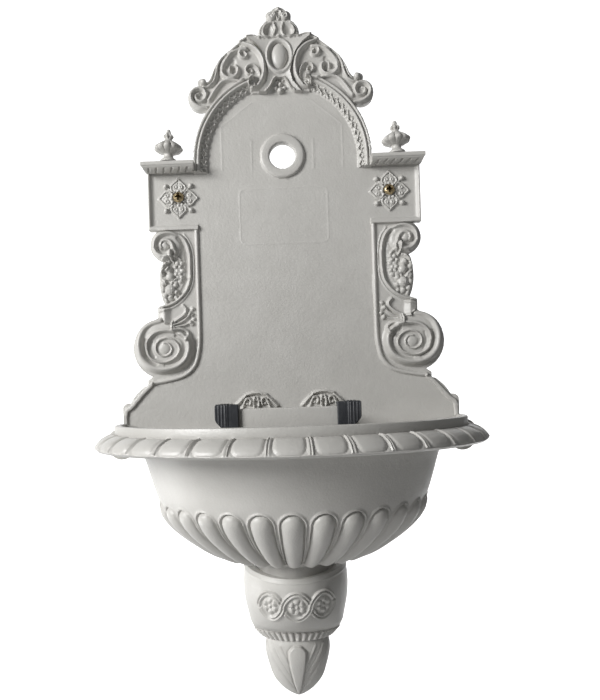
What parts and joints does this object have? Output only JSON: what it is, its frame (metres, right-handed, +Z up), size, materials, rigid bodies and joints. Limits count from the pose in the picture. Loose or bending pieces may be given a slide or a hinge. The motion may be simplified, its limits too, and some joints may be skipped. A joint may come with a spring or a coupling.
{
  "type": "garden wall fountain",
  "caption": "Wall fountain: ornamental back plate with a tap hole, half-oval bowl with egg-and-dart rim and gadroons, bucket rest and siphon cover.",
  "frame": {"origin": "centre of the tap hole, in the wall plane at the plate's back", "axes": "+Z up, +X to the right seen from the front, +Y into the wall; the fountain stands out towards -Y"},
  "size_m": [0.443, 0.2575, 0.7916],
  "materials": {
    "painted_casting": "satin powder coat with a fine orange peel",
    "plated_steel": "zinc plated",
    "brass_screw": "yellow passivated",
    "black_rubber": "matt",
    "drain_steel": "satin stainless"
  },
  "bodies": {
    "root": {"back_plate": "painted_casting", "finial_left": "painted_casting", "finial_right": "painted_casting", "bowl": "painted_casting", "siphon_cover": "painted_casting", "bucket_rest": "painted_casting", "finial_studs": "plated_steel", "bowl_bolts": "plated_steel", "bowl_washers": "plated_steel", "bowl_nuts": "plated_steel", "rest_bolts": "plated_steel", "wall_screws": "brass_screw", "cover_screw": "brass_screw", "end_cap_left": "black_rubber", "end_cap_right": "black_rubber", "drain_gasket_upper": "black_rubber", "drain_gasket_lower": "black_rubber", "drain_grid": "drain_steel", "drain_body": "drain_steel", "drain_screw": "drain_steel"}
  },
  "joints": []
}
